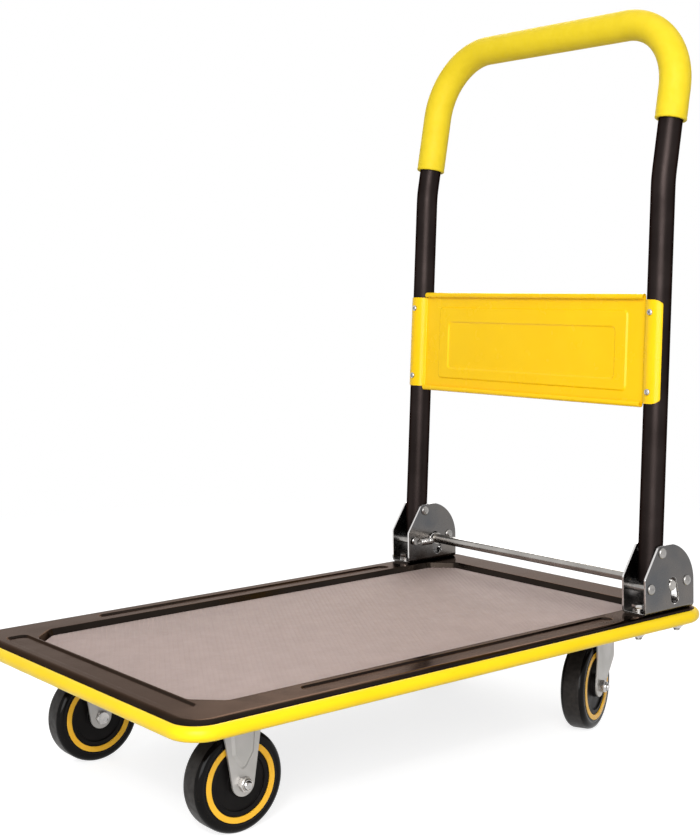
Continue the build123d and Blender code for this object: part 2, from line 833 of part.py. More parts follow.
def make_swivel_plate():
    """Top plate with the boss and skirt of the ball race."""
    race_low = crown_top + 1.0
    boss = post(ball_circle - ball_radius - ball_gap, race_low, plate_bottom)
    skirt = ball_circle + ball_radius + ball_gap + 2 * race_wall
    plate = make_plate() + boss + tube(skirt + race_wall, skirt, race_low + 0.5, plate_bottom)
    return plate - post(kingpin_radius + fit_gap, race_low - 1, caster_height + 1)


def make_swivel_fork():
    rim = ball_circle + ball_radius + ball_gap
    rear = [(-swivel_leg_rear, wheel_radius + swivel_rear_knee), (-swivel_leg_rear, crown_top)]
    front = [(swivel_leg_front, crown_top), (swivel_leg_front, wheel_radius + swivel_front_knee)]
    fork = make_yoke(leg_outline(rear, front, -caster_trail, swivel_knee_radius), crown_top, -caster_trail)
    fork += post(rim + race_wall, crown_top - fork_sheet, crown_top)
    fork += tube(rim + race_wall, rim, crown_top, crown_top + race_lip)
    return fork - post(kingpin_radius + running_gap, crown_top - 2 * fork_sheet, crown_top + 1)


def make_kingpin():
    seat = crown_top - fork_sheet - ball_gap
    return turned([(kingpin_head_radius, seat - kingpin_head), (kingpin_head_radius, seat),
                   (kingpin_radius, seat), (kingpin_radius, caster_height)])


def make_balls():
    level = crown_top + ball_gap + ball_radius
    turns = [360 / ball_count * i for i in range(ball_count)]
    return group([Rot(0, 0, turn) * Pos(ball_circle, 0, level) * Sphere(ball_radius) for turn in turns])


# Deck nodes
save("deck_panel", make_deck_panel())
save("deck_mat", extrude(mat_outline(-mat_gap, floor_top), mat_thickness))
save("edge_bumper", make_bumper())
save("front_cross_channel", make_channel(front_x, front_caster_y))
save("rear_cross_channel", make_channel(kingpin_x, rear_caster_y))

# Bracket nodes
bracket = Pos(0, tube_y, 0) * make_bracket()
for name, side in sides:
    save(f"{name}_hinge_bracket", mirrored(bracket, side))
save("pivot_rivets", group([mirrored(make_pivot_rivet(), side) for _, side in sides]))
save("stop_rivets", group([mirrored(make_stop_rivet(), side) for _, side in sides]))
save("rear_rivets", group([mirrored(make_rear_rivet(), side) for _, side in sides]))
bolt_places = [(bracket_front + x, side * tube_y) for x in bracket_bolts_x for _, side in sides]
bracket_top = border_z + bracket_sheet
head_seat = bracket_top + washer_thickness + lock_washer
nut_top = skirt_bottom - washer_thickness
bolt_length = head_seat - nut_top + lock_nut + bolt_end
bracket_bolt = hex_bolt(bracket_bolt_flats, bracket_bolt_head, bracket_bolt_radius, bolt_length)
bolt_hole = bracket_bolt_radius + fit_gap
flat_washer = tube(washer_radius, bolt_hole, 0, washer_thickness)
split_washer = tube(lock_washer_radius, bolt_hole, head_seat - lock_washer, head_seat)
washer_cut = Box(lock_washer_radius, lock_washer_cut, 3 * lock_washer)
split_washer -= Pos(-lock_washer_radius, 0, head_seat) * washer_cut
washers = [Pos(0, 0, nut_top) * flat_washer, Pos(0, 0, bracket_top) * flat_washer, split_washer]
bracket_nut = Rot(180, 0, 0) * make_lock_nut(bracket_bolt_flats, bolt_hole)
save("bracket_bolts", group([Pos(x, y, head_seat) * bracket_bolt for x, y in bolt_places]))
save("bracket_washers", group([Pos(x, y, 0) * washer for x, y in bolt_places for washer in washers]))
save("bracket_nuts", group([Pos(x, y, nut_top) * bracket_nut for x, y in bolt_places]))

# Release bar nodes
bar_length = 2 * (tube_y + bracket_outer + bar_proud)
save("release_bar", rod(bar_radius, bar_length, bar_x, 0, bar_z))
save("bar_collars", group([mirrored(make_collar(), side) for _, side in sides]))
spring = make_spring()
for name, side in sides:
    save(f"{name}_release_spring", mirrored(spring, side))

# Handle nodes
save("handle_tube", make_handle_tube())
save("handle_grip", make_grip())
save("handle_panel", make_panel())
save("panel_screws", make_panel_screws())

# Caster nodes
plate_bolt_length = floor_bottom - plate_bottom - 0.5
plate_bolt = hex_bolt(plate_bolt_flats, plate_bolt_head, plate_bolt_radius, plate_bolt_length)
plate_bolt = Rot(180, 0, 0) * plate_bolt
plate_nut = hex_nut(plate_bolt_flats, plate_nut_height, plate_bolt_radius + fit_gap)
plate_places = []
for x, y in ((front_x, front_caster_y), (kingpin_x, rear_caster_y)):
    for _, side in sides:
        plate_places += plate_bolt_places(x, side * y)
save("caster_bolts", group([Pos(x, y, plate_bottom) * plate_bolt for x, y in plate_places]))
save("caster_nuts", group([Pos(x, y, caster_height + channel_sheet) * plate_nut for x, y in plate_places]))

front_fork = make_front_fork()
swivel_plate = make_swivel_plate()
swivel_fork = make_swivel_fork()
kingpin = make_kingpin()
balls = make_balls()
wheel = {"tyre": make_tyre(), "core": make_core(), "rings": make_rings()}
for name, side in sides:
    front = Pos(front_x, side * front_caster_y, 0)
    rear = Pos(kingpin_x, side * rear_caster_y, 0)
    swung = rear * Rot(0, 0, swivel_rest_angle)
    front_axle = front * Pos(0, 0, wheel_radius)
    rear_axle = swung * Pos(-caster_trail, 0, wheel_radius)
    save(f"front_{name}_fork", front * front_fork)
    save(f"rear_{name}_caster_plate", rear * swivel_plate)
    save(f"rear_{name}_kingpin", rear * kingpin)
    save(f"rear_{name}_fork", swung * swivel_fork)
    save(f"rear_{name}_balls", swung * balls)
    for end, axle in (("front", front_axle), ("rear", rear_axle)):
        save(f"{end}_{name}_axle_sleeve", axle * make_sleeve())
        save(f"{end}_{name}_axle_bolt", axle * make_axle_bolt(side))
        save(f"{end}_{name}_axle_nut", axle * make_axle_nut(side))
        for piece, shape in wheel.items():
            save(f"{end}_{name}_wheel_{piece}", axle * shape)
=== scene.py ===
import json
import math

import bmesh
import bpy
from mathutils import Matrix, Vector, noise


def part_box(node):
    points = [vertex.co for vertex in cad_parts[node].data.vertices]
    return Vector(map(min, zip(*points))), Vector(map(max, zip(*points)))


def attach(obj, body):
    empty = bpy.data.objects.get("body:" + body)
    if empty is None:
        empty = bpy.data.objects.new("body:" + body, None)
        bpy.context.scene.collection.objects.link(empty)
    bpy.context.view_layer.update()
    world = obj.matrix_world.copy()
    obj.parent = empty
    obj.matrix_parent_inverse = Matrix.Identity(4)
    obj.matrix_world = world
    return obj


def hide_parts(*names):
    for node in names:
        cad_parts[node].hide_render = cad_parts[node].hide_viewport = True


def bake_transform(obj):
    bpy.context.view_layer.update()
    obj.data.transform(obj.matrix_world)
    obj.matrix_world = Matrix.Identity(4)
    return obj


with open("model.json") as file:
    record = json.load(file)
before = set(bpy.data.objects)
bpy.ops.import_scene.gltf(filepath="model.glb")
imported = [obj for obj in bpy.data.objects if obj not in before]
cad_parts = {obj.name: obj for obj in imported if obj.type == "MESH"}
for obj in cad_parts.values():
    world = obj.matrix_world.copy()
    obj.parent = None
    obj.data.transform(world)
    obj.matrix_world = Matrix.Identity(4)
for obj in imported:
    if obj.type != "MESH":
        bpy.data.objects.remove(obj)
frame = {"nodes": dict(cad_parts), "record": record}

nodes = frame["nodes"]
record = frame["record"]
joints = {joint["name"]: joint for joint in record["behaviour"]["joints"]}
body_of = {node: body for body, members in record["behaviour"]["bodies"].items() for node in members}
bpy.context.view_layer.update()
MM = 0.001
ENDS = ("front", "rear")
SIDES = (("left", -1), ("right", 1))

# Camera, fitted to the photograph of 700 by 840 pixels, in metres and degrees
IMAGE_WIDTH = 700.0
IMAGE_HEIGHT = 840.0
CAMERA_PLACE = (-1.02545, -1.31392, 0.53533)
CAMERA_AZIMUTH = -38.602
CAMERA_PITCH = 2.392
CAMERA_ROLL = -0.764
CAMERA_CLIP = 0.01
FOCAL_PIXELS = 1477.64
CENTRE_PIXEL = (360.83, 332.78)
SENSOR = 36.0

# Light: the world as seen and as it lights, and the floor's own white near and far, in metres
WORLD_SEEN = 1.0
WORLD_GIVEN = 0.34
FLOOR_COLOUR = (0.5, 0.5, 0.5, 1)
FLOOR_GLOW = 0.78
FLOOR_HALF = 8.0
FLOOR_NEAR = 0.7
FLOOR_FAR = 1.8

# Lamps: name, place, aim and size in metres, and power in watts
LAMPS = (
    ("key", (-1.6, -1.85, 1.25), (0, 0, 0.35), (1.8, 2.2), 70),
    ("spark", (-1.62, -1.68, 1.52), (-0.1, -0.1, 0.2), (0.15, 0.15), 8),
    ("top", (0.2, 0.3, 2.8), (0, 0, 0.2), (2.4, 2.4), 6),
    ("back", (1.7, 1.8, 1.9), (0, 0, 0.3), (1.4, 1.4), 34),
)

# Part of a noise's range over which a finish goes from its low to its high value
GRAIN_RANGE = (0.35, 0.65)

# Cut edges of a bracket's sheet, lighter as bare steel and as a painted highlight: how far a face looks
# sideways, and the millimetres up where they start
EDGE_FACING = (0.4, 0.8)
EDGE_START = 148.0
EDGE_RISE = 2.0

# Directions of the rolling lines in a plated sheet
EVEN = (1, 1, 1)
BRUSHED_X = (0.04, 1, 1)
BRUSHED_Y = (1, 0.04, 1)
BRUSHED_Z = (1, 1, 0.04)

# Finish of a CAD node, by how its name ends
NODE_FINISHES = {
    "deck_enamel": ("deck_panel",),
    "channel_enamel": ("cross_channel",),
    "tube_enamel": ("handle_tube",),
    "grey_mat": ("deck_mat",),
    "yellow_rubber": ("edge_bumper",),
    "yellow_foam": ("handle_grip",),
    "yellow_enamel": ("handle_panel",),
    "yellow_plastic": ("rings",),
    "tyre_rubber": ("tyre",),
    "black_plastic": ("core",),
    "bracket_zinc": ("bracket",),
    "fork_zinc": ("fork", "plate"),
    "bar_zinc": ("release_bar", "bar_collars"),
    "bright_steel": ("spring", "balls", "sleeve", "kingpin"),
    "rivet_steel": ("rivets",),
    "fastener_zinc": ("bolt", "bolts", "nut", "nuts", "washers", "screws"),
}

# Rounded edges of the CAD nodes, by how the names end, with widths in millimetres and angles in degrees
SOFT_EDGES = {
    ("wheel_core",): {"width": 0.6},
    ("wheel_rings",): {"width": 0.35},
    # The hinge brackets' rounded edges take the cut-edge finish, bare steel with a painted highlight
    ("hinge_bracket",): {"width": 0.35, "highlight_finish": "cut_edge_highlight"},
    ("fork",): {"width": 0.9, "angle": 28.0, "segments": 3},
    ("caster_plate", "cross_channel"): {"width": 0.4},
    ("washers", "collars"): {"width": 0.2},
    ("handle_panel",): {"width": 0.9, "angle": 22.0, "segments": 3},
}
SMOOTH_NODES = ("rivets", "balls")
WELD_GAP = 0.01
FLAT_ANGLE = 0.3

# Modelled pieces, with sizes in millimetres and angles in degrees from here on
SEGMENTS = 48
FINE_SEGMENTS = 96
SHARP_ANGLE = 32.0

# Mat: its cut and rounded corners, and its edge as steps in and down from its face
MAT_CUT = 24.8
MAT_CORNER = 9.7
MAT_CORNER_TURN = 45.0
MAT_CORNER_STEPS = 4
MAT_EDGE = ((0.0, 0.4), (0.12, 0.12), (0.4, 0.0))
MAT_SHARP = 60.0

# Studs of the mat, with the shoulder as shares of radius and height
STUD_PITCH = 6.0
STUD_RADIUS = 1.3
STUD_HEIGHT = 0.45
STUD_SHOULDER = (0.75, 0.62)
STUD_MARGIN = 1.6
STUD_SIDES = 6
STUD_SUNK = 0.05

# Handle's tubes
HANDLE_TOP = 825.0
TUBE_Y = 205.0
TUBE_LEAN = 3.46

# Foam grip: its bent length from the left leg over the top to the right leg
GRIP_RADIUS = 18.5
GRIP_BORE = 14.1
GRIP_LEAN = 11.0
GRIP_CORNER = 85.0
GRIP_DROPS = (121.0, 156.0)
GRIP_LEFT_STEPS = 12
GRIP_BEND_STEPS = 24
GRIP_TOP_STEPS = 36
GRIP_RIGHT_STEPS = 14

# Ends of the grip, in place of the path's end points: distance in, and step from the bore or the outside
GRIP_LIP = ((3.0, 0.0), (0.9, 0.3), (0.2, 1.2))
GRIP_ROLL = ((0.0, -2.0), (0.25, -0.9), (0.9, -0.25), (1.8, 0.05), (3.0, 0.0), (4.4, -0.45), (6.5, -0.1))
GRIP_END_POINTS = 2

# Unevenness of the foam: height and rate of each swell, and how far it shrinks between its ends
GRIP_SWELLS = ((0.10, 0.02), (0.03, 0.11))
GRIP_END_SWELL = 0.3
GRIP_SHRINK = 0.1

# Release bar and its springs
BAR_RADIUS = 6.0
BAR_CHAMFER = 0.7
RIVET_RADIUS = 3.5
WIRE = 1.4
WIRE_SIDES = 10
COIL_RADIUS = 3.8
COIL_PITCH = 2.0
COIL_TURNS = 10
COIL_START = 5.6
COIL_STEPS = 24
HOOK_BEND = 2.5
HOOK_BEND_STEPS = 8
HOOK_GAP = 0.2
HOOK_STEPS = 16
RISE_STEPS = 10

# Bolts and nuts of the brackets and axles, then those of the caster plates
M8_FLATS = 13.0
M8_HEAD = 5.3
M8_RADIUS = 4.0
M8_PITCH = 1.25
M8_THREAD = 16.0
LOCK_NUT = 8.0
LOCK_NUT_COLLAR = 2.0
AXLE_LEG = 18.5
AXLE_TIP = 2.0
M6_FLATS = 10.0
M6_HEAD = 4.0
M6_RADIUS = 3.0
M6_PITCH = 1.0
M6_THREAD = 9.0
M6_NUT = 5.0

# Turns of fasteners about their axes, so that they don't stand alike: a first angle and a step
BRACKET_TURNS = (17, 41)
SCREW_TURNS = (15, 37)
UPSIDE_DOWN = Matrix.Rotation(math.pi, 4, "X")

# Plate bolts: their places about each caster's own joint, and their turns from a first angle there
PLATE_BOLTS = (23.0, 33.0)
PLATE_CORNERS = ((-1, -1), (-1, 1), (1, -1), (1, 1))
PLATE_TURNS = {"front_left_spin": 105, "front_right_spin": 112, "left_swivel": 77, "right_swivel": 84}
PLATE_TURN_STEP = 23

# Hexagons: the circle that the chamfer leaves, as a share of the flats, and the chamfer's slope
HEX_CIRCLE = 0.955
HEX_CHAMFER = 30.0

# Bolt: its head's dished top as shares of that circle and depths, the head's foot and the thread
HEAD_DISH = ((0.5, 0.25), (0.86, 0.2), (0.93, 0.0), (1.0, 0.0))
HEAD_FOOT = 0.35
HEAD_FOOT_SHARE = 0.97
THREAD_DEPTH = 0.54
THREAD_STEPS = 8
THREAD_LEAD = 0.8
THREAD_RUNOUT = 0.4
TIP_DEPTH = 0.75

# Nuts: play and lead of the bore, the lock nut's seat and its collar as steps out and up or down
NUT_PLAY = 0.04
NUT_LEAD = 0.5
LOCK_NUT_SEAT = 0.93
COLLAR_SHARE = 0.43
COLLAR_FOOT = ((0.5, 0.1), (0.1, 0.5))
COLLAR_RIM = ((0.0, 0.7), (-0.25, 0.2), (-0.7, 0.0), (-1.0, 0.1), (-1.0, 0.5))
INSERT_DEPTH = 0.6

# Panel screws: the head's profile as shares of its radius and height, and the arms of its recess
SCREW_HEAD_RADIUS = 3.8
SCREW_HEAD = 2.2
SCREW_SEAT = 15.3
SCREW_HEIGHTS = (182.5, 273.5)
PAN_HEAD = ((0.6, 0.0), (0.97, 0.0), (1.0, 0.15), (0.985, 0.40), (0.92, 0.66), (0.80, 0.86), (0.68, 0.97))
RECESS_TOP = (2.25, 0.45)
RECESS_FLOOR = (1.6, 0.36)
RECESS_DEPTH = 1.2

# Tyres, with the moulded line as steps out from the ring and depths, and the tread's points as shares
WHEEL_RADIUS = 50.0
WHEEL_HALF = 14.0
TYRE_BORE = 33.0
TYRE_LIP = 0.35
TYRE_SHARP = 40.0
RING_OUTER = 39.2
RING_DEPTH = 1.6
MOULD_LINE = ((2.0, 0.0), (2.3, 0.25), (2.8, 0.25), (3.1, 0.0))
SHOULDER = 6.5
SHOULDER_STEPS = 12
TREAD_SHARES = (0.66, 0.33, 0.0)
TREAD_BANDS = 5


# Camera, world, floor and lamps
def make_camera():
    azimuth = math.radians(CAMERA_AZIMUTH)
    pitch = math.radians(CAMERA_PITCH)
    roll = math.radians(CAMERA_ROLL)
    level = Vector((-math.sin(azimuth), math.cos(azimuth), 0))
    right = Vector((math.cos(azimuth), math.sin(azimuth), 0))
    upward = Vector((0, 0, 1))
    ahead = level * math.cos(pitch) - upward * math.sin(pitch)
    upward = upward * math.cos(pitch) + level * math.sin(pitch)
    tilted = right * math.cos(roll) + upward * math.sin(roll)
    upward = upward * math.cos(roll) - right * math.sin(roll)
    lens = bpy.data.cameras.new("camera")
    lens.sensor_width = SENSOR
    lens.lens = FOCAL_PIXELS / IMAGE_HEIGHT * SENSOR
    lens.shift_x = (IMAGE_WIDTH / 2 - CENTRE_PIXEL[0]) / IMAGE_HEIGHT
    lens.shift_y = (CENTRE_PIXEL[1] - IMAGE_HEIGHT / 2) / IMAGE_HEIGHT
    lens.clip_start = CAMERA_CLIP
    camera = bpy.data.objects.new("camera", lens)
    turn = Matrix((tilted, upward, -ahead)).transposed().to_4x4()
    camera.matrix_world = Matrix.Translation(CAMERA_PLACE) @ turn
    bpy.context.scene.collection.objects.link(camera)
    bpy.context.scene.camera = camera


def seen_directly(tree):
    """One for camera, glossy and transmission rays, which see the backdrop; zero for the light it gives."""
    path = tree.nodes.new("ShaderNodeLightPath")
    total = path.outputs["Is Camera Ray"]
    for ray in ("Is Glossy Ray", "Is Transmission Ray"):
        larger = tree.nodes.new("ShaderNodeMath")
        larger.operation = "MAXIMUM"
        tree.links.new(total, larger.inputs[0])
        tree.links.new(path.outputs[ray], larger.inputs[1])
        total = larger.outputs[0]
    return total


def make_world():
    world = bpy.data.worlds.new("studio")
    bpy.context.scene.world = world
    world.use_nodes = True
    tree = world.node_tree
    tree.nodes.clear()
    mix = tree.nodes.new("ShaderNodeMixShader")
    tree.links.new(seen_directly(tree), mix.inputs[0])
    for socket, strength in ((1, WORLD_GIVEN), (2, WORLD_SEEN)):
        light = tree.nodes.new("ShaderNodeBackground")
        light.inputs["Strength"].default_value = strength
        light.inputs["Color"].default_value = (1, 1, 1, 1)
        tree.links.new(light.outputs[0], mix.inputs[socket])
    out = tree.nodes.new("ShaderNodeOutputWorld")
    tree.links.new(mix.outputs[0], out.inputs["Surface"])


def floor_paint():
    """Pale paint that keeps the shadow near the object and runs into the white further out."""
    paint = bpy.data.materials.new("floor_paint")
    paint.use_nodes = True
    tree = paint.node_tree
    tree.nodes.clear()
    matte = tree.nodes.new("ShaderNodeBsdfDiffuse")
    matte.inputs["Color"].default_value = FLOOR_COLOUR
    glow = tree.nodes.new("ShaderNodeEmission")
    glow.inputs["Strength"].default_value = FLOOR_GLOW
    white = tree.nodes.new("ShaderNodeEmission")
    white.inputs["Strength"].default_value = WORLD_SEEN
    near = tree.nodes.new("ShaderNodeAddShader")
    tree.links.new(matte.outputs[0], near.inputs[0])
    tree.links.new(glow.outputs[0], near.inputs[1])
    place = tree.nodes.new("ShaderNodeNewGeometry")
    length = tree.nodes.new("ShaderNodeVectorMath")
    length.operation = "LENGTH"
    tree.links.new(place.outputs["Position"], length.inputs[0])
    fade = tree.nodes.new("ShaderNodeMapRange")
    fade.interpolation_type = "SMOOTHSTEP"
    fade.inputs["From Min"].default_value = FLOOR_NEAR
    fade.inputs["From Max"].default_value = FLOOR_FAR
    tree.links.new(length.outputs["Value"], fade.inputs["Value"])
    shown = tree.nodes.new("ShaderNodeMixShader")
    tree.links.new(fade.outputs[0], shown.inputs[0])
    tree.links.new(near.outputs[0], shown.inputs[1])
    tree.links.new(white.outputs[0], shown.inputs[2])
    mix = tree.nodes.new("ShaderNodeMixShader")
    tree.links.new(seen_directly(tree), mix.inputs[0])
    tree.links.new(matte.outputs[0], mix.inputs[1])
    tree.links.new(shown.outputs[0], mix.inputs[2])
    out = tree.nodes.new("ShaderNodeOutputMaterial")
    tree.links.new(mix.outputs[0], out.inputs["Surface"])
    return paint


def make_floor():
    half = FLOOR_HALF
    corners = [(-half, -half, 0), (half, -half, 0), (half, half, 0), (-half, half, 0)]
    mesh = bpy.data.meshes.new("floor")
    mesh.from_pydata(corners, [], [(0, 1, 2, 3)])
    mesh.materials.append(floor_paint())
    floor = bpy.data.objects.new("floor", mesh)
    bpy.context.scene.collection.objects.link(floor)


def make_lamp(name, place, aim, size, power):
    light = bpy.data.lights.new(name, "AREA")
    light.shape = "RECTANGLE"
    light.size, light.size_y = size
    light.energy = power
    lamp = bpy.data.objects.new(name, light)
    lamp.location = place
    lamp.rotation_euler = (Vector(aim) - Vector(place)).to_track_quat("-Z", "Y").to_euler()
    bpy.context.scene.collection.objects.link(lamp)


# Materials
def grain(tree, scale, detail=2.0, stretch=EVEN):
    """Noise fixed to the piece, in grains per metre."""
    place = tree.nodes.new("ShaderNodeTexCoord")
    mapping = tree.nodes.new("ShaderNodeMapping")
    mapping.inputs["Scale"].default_value = stretch
    tree.links.new(place.outputs["Object"], mapping.inputs["Vector"])
    texture = tree.nodes.new("ShaderNodeTexNoise")
    texture.inputs["Scale"].default_value = scale
    texture.inputs["Detail"].default_value = detail
    tree.links.new(mapping.outputs[0], texture.inputs["Vector"])
    return texture.outputs[0]


def spread(tree, source, low, high, source_range=GRAIN_RANGE):
    """A value taken from one range to another."""
    node = tree.nodes.new("ShaderNodeMapRange")
    node.inputs["From Min"].default_value = source_range[0]
    node.inputs["From Max"].default_value = source_range[1]
    node.inputs["To Min"].default_value = low
    node.inputs["To Max"].default_value = high
    tree.links.new(source, node.inputs["Value"])
    return node.outputs[0]


def ramp(tree, source, low, high):
    """A value taken to a colour between two."""
    node = tree.nodes.new("ShaderNodeValToRGB")
    for element, place, colour in zip(node.color_ramp.elements, GRAIN_RANGE, (low, high)):
        element.position = place
        element.color = (*colour, 1)
    tree.links.new(source, node.inputs[0])
    return node.outputs[0]


def sheet_edge_highlight(tree):
    """One on the cut edges of a bracket's upright plates, zero on their faces: where bare steel and a
    painted highlight go.
    """
    place = tree.nodes.new("ShaderNodeTexCoord")
    facing = tree.nodes.new("ShaderNodeSeparateXYZ")
    tree.links.new(place.outputs["Normal"], facing.inputs[0])
    across = tree.nodes.new("ShaderNodeMath")
    across.operation = "ABSOLUTE"
    tree.links.new(facing.outputs["Y"], across.inputs[0])
    height = tree.nodes.new("ShaderNodeSeparateXYZ")
    tree.links.new(place.outputs["Object"], height.inputs[0])
    both = tree.nodes.new("ShaderNodeMath")
    both.operation = "MULTIPLY"
    tree.links.new(spread(tree, across.outputs[0], 1.0, 0.0, EDGE_FACING), both.inputs[0])
    start = EDGE_START * MM
    rise = (start, start + EDGE_RISE * MM)
    tree.links.new(spread(tree, height.outputs["Z"], 0.0, 1.0, rise), both.inputs[1])
    return both.outputs[0]


def noise_bump(scale, distance, strength, detail=2.0, stretch=EVEN):
    """Layer of bump: its noise, its height in millimetres and its strength."""
    return lambda tree: grain(tree, scale, detail, stretch), distance, strength


paints = {}


def make_paint(name, low, high, mottle, rough, rough_grain, bumps, metallic=0.0, specular=0.5, settings=(),
               cut=None):
    """Material between two colours and two roughnesses, each over its own grain, with layers of bump."""
    paint = bpy.data.materials.new(name)
    paint.use_nodes = True
    tree = paint.node_tree
    shader = tree.nodes["Principled BSDF"]
    shader.inputs["Metallic"].default_value = metallic
    shader.inputs["Specular IOR Level"].default_value = specular
    for socket, value in settings:
        shader.inputs[socket].default_value = value
    colour = ramp(tree, grain(tree, *mottle), low, high)
    # Cut edges take a brighter colour: bare steel, and a painted highlight along the edge
    if cut:
        mix = tree.nodes.new("ShaderNodeMix")
        mix.data_type = "RGBA"
        tree.links.new(sheet_edge_highlight(tree), mix.inputs["Factor"])
        tree.links.new(colour, mix.inputs["A"])
        mix.inputs["B"].default_value = (*cut, 1)
        colour = mix.outputs["Result"]
    tree.links.new(colour, shader.inputs["Base Color"])
    tree.links.new(spread(tree, grain(tree, *rough_grain), *rough), shader.inputs["Roughness"])
    normal = None
    for source, distance, strength in bumps:
        bump = tree.nodes.new("ShaderNodeBump")
        bump.inputs["Distance"].default_value = distance * MM
        bump.inputs["Strength"].default_value = strength
        tree.links.new(source(tree), bump.inputs["Height"])
        if normal:
            tree.links.new(normal, bump.inputs["Normal"])
        normal = bump.outputs[0]
    tree.links.new(normal, shader.inputs["Normal"])
    paints[name] = paint


def make_plated(name, low, high, rough, cloud, brushed=EVEN, metallic=1.0, cut=None):
    """Zinc plated or bare steel: cloudy colour, fine grain and faint rolling lines."""
    fine = noise_bump(scale=260, distance=0.02, strength=0.2)
    lines = noise_bump(scale=900, distance=0.012, strength=0.3, stretch=brushed)
    make_paint(name, low, high, mottle=(cloud, 3.0), rough=rough, rough_grain=(60, 3.0), bumps=(fine, lines),
               metallic=metallic, cut=cut)


def make_enamels():
    """Enamels, of which the deck's and the tubes' are dark metals with a tinted gloss at a low angle."""
    make_paint("deck_enamel", (0.016, 0.0122, 0.0098), (0.023, 0.0176, 0.0142),
               mottle=(14, 4.0), rough=(0.14, 0.24), rough_grain=(30, 3.0),
               bumps=(noise_bump(380, 0.03, 0.4), noise_bump(60, 0.08, 0.2)),
               metallic=1.0, settings=(("Specular Tint", (0.66, 0.577, 0.537, 1)),))
    make_paint("channel_enamel", (0.010, 0.008, 0.006), (0.018, 0.0145, 0.011),
               mottle=(20, 4.0), rough=(0.35, 0.5), rough_grain=(60, 3.0),
               bumps=(noise_bump(420, 0.05, 0.6),), specular=0.2)
    make_paint("tube_enamel", (0.019, 0.0144, 0.0135), (0.0268, 0.0205, 0.0192),
               mottle=(22, 4.0), rough=(0.36, 0.44), rough_grain=(40, 3.0),
               bumps=(noise_bump(900, 0.03, 0.4), noise_bump(2600, 0.015, 0.4)),
               metallic=1.0, settings=(("Specular Tint", (0.35, 0.30, 0.28, 1)),))
    make_paint("yellow_enamel", (0.98, 0.60, 0.002), (1.0, 0.63, 0.004),
               mottle=(16, 4.0), rough=(0.20, 0.28), rough_grain=(40, 3.0),
               bumps=(noise_bump(420, 0.015, 0.3), noise_bump(30, 0.05, 0.1)), specular=0.2)


def make_rubbers():
    make_paint("grey_mat", (0.396, 0.311, 0.286), (0.420, 0.330, 0.305),
               mottle=(40, 5.0), rough=(0.66, 0.80), rough_grain=(120, 3.0),
               bumps=(noise_bump(1400, 0.06, 0.6),), specular=0.15)
    make_paint("yellow_rubber", (0.95, 0.655, 0.004), (1.0, 0.70, 0.008),
               mottle=(12, 4.0), rough=(0.30, 0.42), rough_grain=(35, 3.0),
               bumps=(noise_bump(70, 0.10, 0.2), noise_bump(700, 0.03, 0.4)), specular=0.22)
    make_paint("yellow_foam", (0.82, 0.607, 0.011), (0.85, 0.637, 0.016),
               mottle=(60, 5.0), rough=(0.58, 0.74), rough_grain=(160, 3.0),
               bumps=(noise_bump(300, 0.04, 0.15, detail=4.0), noise_bump(1900, 0.08, 0.5)), specular=0.35,
               settings=(("Sheen Weight", 0.1), ("Sheen Roughness", 0.4),
                         ("Sheen Tint", (1.0, 0.85, 0.3, 1))))
    make_paint("tread_rubber", (0.012, 0.0098, 0.0085), (0.024, 0.020, 0.0175),
               mottle=(220, 5.0), rough=(0.40, 0.55), rough_grain=(160, 3.0),
               bumps=(noise_bump(1200, 0.05, 0.5), noise_bump(300, 0.05, 0.3)), specular=0.2)
    make_paint("tyre_rubber", (0.0032, 0.0026, 0.0024), (0.0052, 0.0043, 0.0040),
               mottle=(40, 4.0), rough=(0.11, 0.17), rough_grain=(55, 3.0),
               bumps=(noise_bump(900, 0.015, 0.25), noise_bump(120, 0.03, 0.15)), specular=0.1)


def make_plastics():
    make_paint("yellow_plastic", (0.95, 0.50, 0.030), (0.98, 0.54, 0.040),
               mottle=(60, 3.0), rough=(0.30, 0.42), rough_grain=(90, 3.0),
               bumps=(noise_bump(800, 0.03, 0.4),), specular=0.3)
    make_paint("black_plastic", (0.0042, 0.0036, 0.0034), (0.0074, 0.0063, 0.0060),
               mottle=(50, 4.0), rough=(0.36, 0.46), rough_grain=(70, 3.0),
               bumps=(noise_bump(1100, 0.03, 0.5),), specular=0.09)


def make_steels():
    # The brackets' cut edges are lighter: bare steel, and a painted highlight
    make_plated("bracket_zinc", (0.105, 0.107, 0.112), (0.165, 0.150, 0.138), rough=(0.18, 0.30), cloud=16,
                brushed=BRUSHED_X, cut=(0.72, 0.70, 0.69))
    make_plated("fork_zinc", (0.41, 0.395, 0.375), (0.47, 0.45, 0.43), rough=(0.36, 0.48), cloud=26,
                brushed=BRUSHED_Z, metallic=0.5)
    make_plated("rivet_steel", (0.27, 0.26, 0.25), (0.36, 0.345, 0.33), rough=(0.18, 0.30), cloud=140,
                metallic=0.9)
    make_plated("fastener_zinc", (0.42, 0.41, 0.40), (0.56, 0.54, 0.52), rough=(0.16, 0.28), cloud=140)
    make_plated("bright_steel", (0.50, 0.49, 0.48), (0.60, 0.58, 0.56), rough=(0.10, 0.18), cloud=30,
                brushed=BRUSHED_Y)
    make_plated("bar_zinc", (0.34, 0.325, 0.305), (0.44, 0.42, 0.395), rough=(0.18, 0.28), cloud=30,
                brushed=BRUSHED_Y)
    # Bright finish of the brackets' rounded cut edges: bare steel, and a painted highlight
    make_plated("cut_edge_highlight", (0.66, 0.65, 0.64), (0.78, 0.76, 0.74), rough=(0.20, 0.30), cloud=220)


# Finishes and edges of the CAD nodes
def paint_nodes():
    for name, node in nodes.items():
        paint_name = next(key for key, endings in NODE_FINISHES.items() if name.endswith(endings))
        node.data.materials.clear()
        node.data.materials.append(paints[paint_name])


def weld(name):
    """Joins a CAD node's doubled points."""
    joined = nodes[name].modifiers.new("weld", "WELD")
    joined.merge_threshold = WELD_GAP * MM


